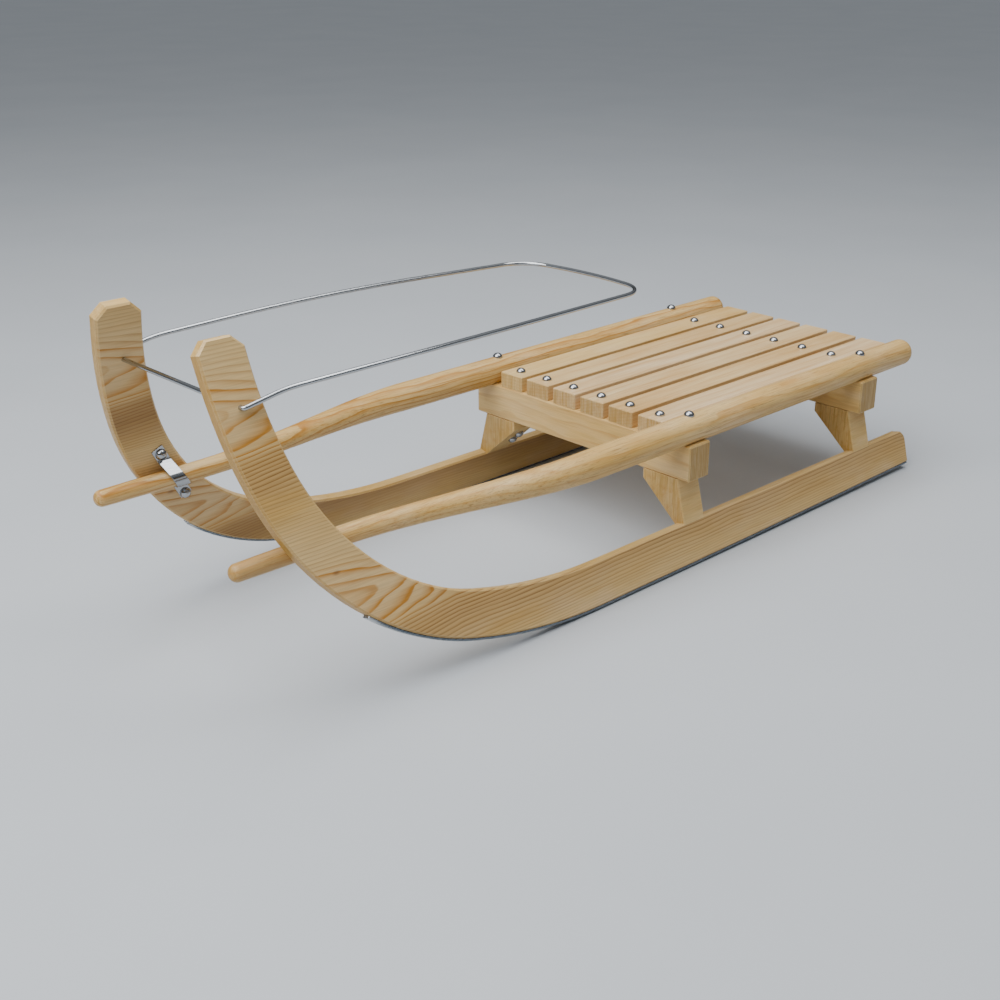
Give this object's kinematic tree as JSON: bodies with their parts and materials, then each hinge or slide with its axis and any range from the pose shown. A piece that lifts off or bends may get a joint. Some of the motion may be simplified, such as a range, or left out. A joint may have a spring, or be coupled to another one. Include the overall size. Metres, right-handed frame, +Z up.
{
  "type": "racing toboggan with a pull hoop",
  "caption": "Low pine toboggan: upswept horned runners with steel soles, slatted seat on two cross beams, round side rails and a hinged bright rod pull hoop.",
  "frame": {"origin": "on the ground under the middle of the overall length and width", "axes": "+X in the driving direction, towards the horns; +Y to the rider's left; +Z up"},
  "size_m": [1.0676, 0.3794, 0.3764],
  "materials": {
    "runner_pine": "planed pine, clear oiled",
    "post_pine": "planed pine, clear oiled",
    "beam_pine": "planed pine, clear oiled",
    "rail_pine": "turned pine, clear oiled",
    "slat_pine": "planed pine, clear oiled",
    "blued_steel": "dark blued strip steel",
    "zinc_steel": "bright zinc-plated sheet steel",
    "bright_steel": "bright plated round rod"
  },
  "bodies": {
    "toboggan": {"runner_left": "runner_pine", "runner_right": "runner_pine", "sole_strip_left": "blued_steel", "sole_strip_right": "blued_steel", "post_front_left": "post_pine", "post_front_right": "post_pine", "post_rear_left": "post_pine", "post_rear_right": "post_pine", "cross_beam_front": "beam_pine", "cross_beam_rear": "beam_pine", "side_rail_left": "rail_pine", "side_rail_right": "rail_pine", "seat_slat_1": "slat_pine", "seat_slat_2": "slat_pine", "seat_slat_3": "slat_pine", "seat_slat_4": "slat_pine", "seat_slat_5": "slat_pine", "seat_slat_6": "slat_pine", "rail_clamp_left": "zinc_steel", "rail_clamp_right": "zinc_steel"},
    "hoop": {"pull_hoop": "bright_steel"}
  },
  "joints": [
    {"name": "hoop_pivot", "type": "hinge", "parent": "toboggan", "child": "hoop", "pos_m": [0.49937, 0, 0.3138], "axis": [0, 1, 0], "range_deg": [-14, 180]}
  ]
}
